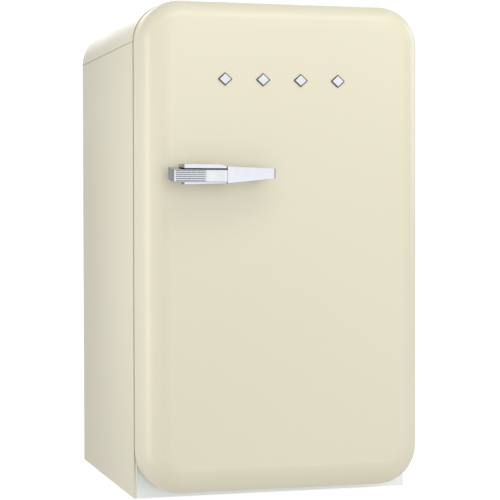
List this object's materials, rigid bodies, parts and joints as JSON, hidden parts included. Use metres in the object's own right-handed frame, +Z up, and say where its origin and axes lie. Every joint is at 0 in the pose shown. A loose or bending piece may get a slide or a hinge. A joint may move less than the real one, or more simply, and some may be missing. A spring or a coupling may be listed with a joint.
{
  "type": "mini fridge",
  "caption": "Under-counter refrigerator with a rounded roof, a pillow-shaped door on the right-hand hinge, a lever handle, an ice box, shelves and a rear cooling unit.",
  "frame": {"origin": "on the floor, in the middle of the overall box, under the feet", "axes": "+X to the right seen from the front, +Y to the rear, +Z up; the door faces -Y"},
  "size_m": [0.545, 0.676, 0.955],
  "materials": {
    "cream_enamel": "gloss",
    "plinth_paint": "satin",
    "foam": "matte",
    "liner_plastic": "semi-gloss",
    "zinc_sheet": "satin",
    "zinc_hardware": "satin",
    "black_plastic": "matte",
    "shelf_glass": "polished",
    "soft_white_plastic": "satin",
    "clear_plastic": "polished",
    "evaporator_aluminium": "satin",
    "bulb_glass": "polished",
    "compressor_paint": "satin",
    "grommet_rubber": "matte",
    "copper_tube": "satin",
    "seal_vinyl": "satin",
    "handle_chrome": "polished"
  },
  "bodies": {
    "cabinet": {"side_panel_left": "cream_enamel", "side_panel_right": "cream_enamel", "roof_panel": "cream_enamel", "back_panel": "zinc_sheet", "base_pan": "zinc_sheet", "plinth_plate": "plinth_paint", "cabinet_foam": "foam", "inner_liner": "liner_plastic", "bay_panel": "zinc_sheet", "rear_crossbar": "zinc_sheet", "foot_pads": "black_plastic", "foot_studs": "zinc_hardware", "hinge_brackets": "zinc_hardware", "hinge_pins": "zinc_hardware", "hinge_screws": "zinc_hardware", "shelf_glass_upper": "shelf_glass", "shelf_glass_lower": "shelf_glass", "shelf_trims": "soft_white_plastic", "crisper_lid": "shelf_glass", "ice_box_shell": "liner_plastic", "evaporator": "evaporator_aluminium", "ice_box_pins": "zinc_hardware", "control_housing": "soft_white_plastic", "thermostat_body": "zinc_hardware", "lamp_bulb": "bulb_glass", "lamp_lens": "clear_plastic", "door_switch_body": "soft_white_plastic", "drain_tube": "soft_white_plastic", "evaporation_tray": "soft_white_plastic", "compressor_shell": "compressor_paint", "compressor_base": "compressor_paint", "compressor_grommets": "grommet_rubber", "compressor_bolts": "zinc_hardware", "relay_cover": "black_plastic", "discharge_pipe": "copper_tube", "suction_pipe": "copper_tube", "condenser_coil": "compressor_paint", "condenser_wires": "compressor_paint", "condenser_clips": "black_plastic", "filter_drier": "copper_tube", "cable_gland": "black_plastic", "back_screws": "zinc_hardware"},
    "door": {"door_skin": "cream_enamel", "door_foam": "foam", "door_liner": "liner_plastic", "door_gasket": "seal_vinyl", "hinge_bushes": "soft_white_plastic", "handle_base": "handle_chrome", "handle_grip": "handle_chrome", "handle_posts": "handle_chrome", "handle_plate": "zinc_sheet", "handle_screws": "zinc_hardware", "badge_studs": "handle_chrome", "balcony_upper": "clear_plastic", "balcony_middle": "clear_plastic", "bottle_rack": "clear_plastic"},
    "crisper_drawer": {"crisper_drawer": "clear_plastic"},
    "ice_box_door": {"ice_box_door": "liner_plastic"},
    "thermostat_knob": {"thermostat_knob": "soft_white_plastic"},
    "door_switch_plunger": {"door_switch_plunger": "black_plastic"}
  },
  "joints": [
    {"name": "door_hinge", "type": "hinge", "parent": "cabinet", "child": "door", "pos_m": [0.2545, -0.22, 0.48], "axis": [0, 0, 1], "range_deg": [0, 110]},
    {"name": "thermostat_turn", "type": "hinge", "parent": "cabinet", "child": "thermostat_knob", "pos_m": [0.203, -0.06, 0.732], "axis": [0, 1, 0], "range_deg": [0, 270]},
    {"name": "crisper_slide", "type": "slide", "parent": "cabinet", "child": "crisper_drawer", "axis": [0, -1, 0], "range_m": [0, 0.19]},
    {"name": "ice_box_flap", "type": "hinge", "parent": "cabinet", "child": "ice_box_door", "pos_m": [0.1973, -0.096, 0.834], "axis": [0, 0, 1], "range_deg": [0, 85]},
    {"name": "door_switch", "type": "slide", "parent": "cabinet", "child": "door_switch_plunger", "axis": [0, -1, 0], "range_m": [0, 0.006]}
  ],
  "couplings": [
    {"joint": "crisper_slide", "follows": "door_hinge", "m_per_rad": 0.095},
    {"joint": "ice_box_flap", "follows": "door_hinge", "ratio": 0.75},
    {"joint": "door_switch", "follows": "door_hinge", "m_per_rad": 0.003}
  ]
}
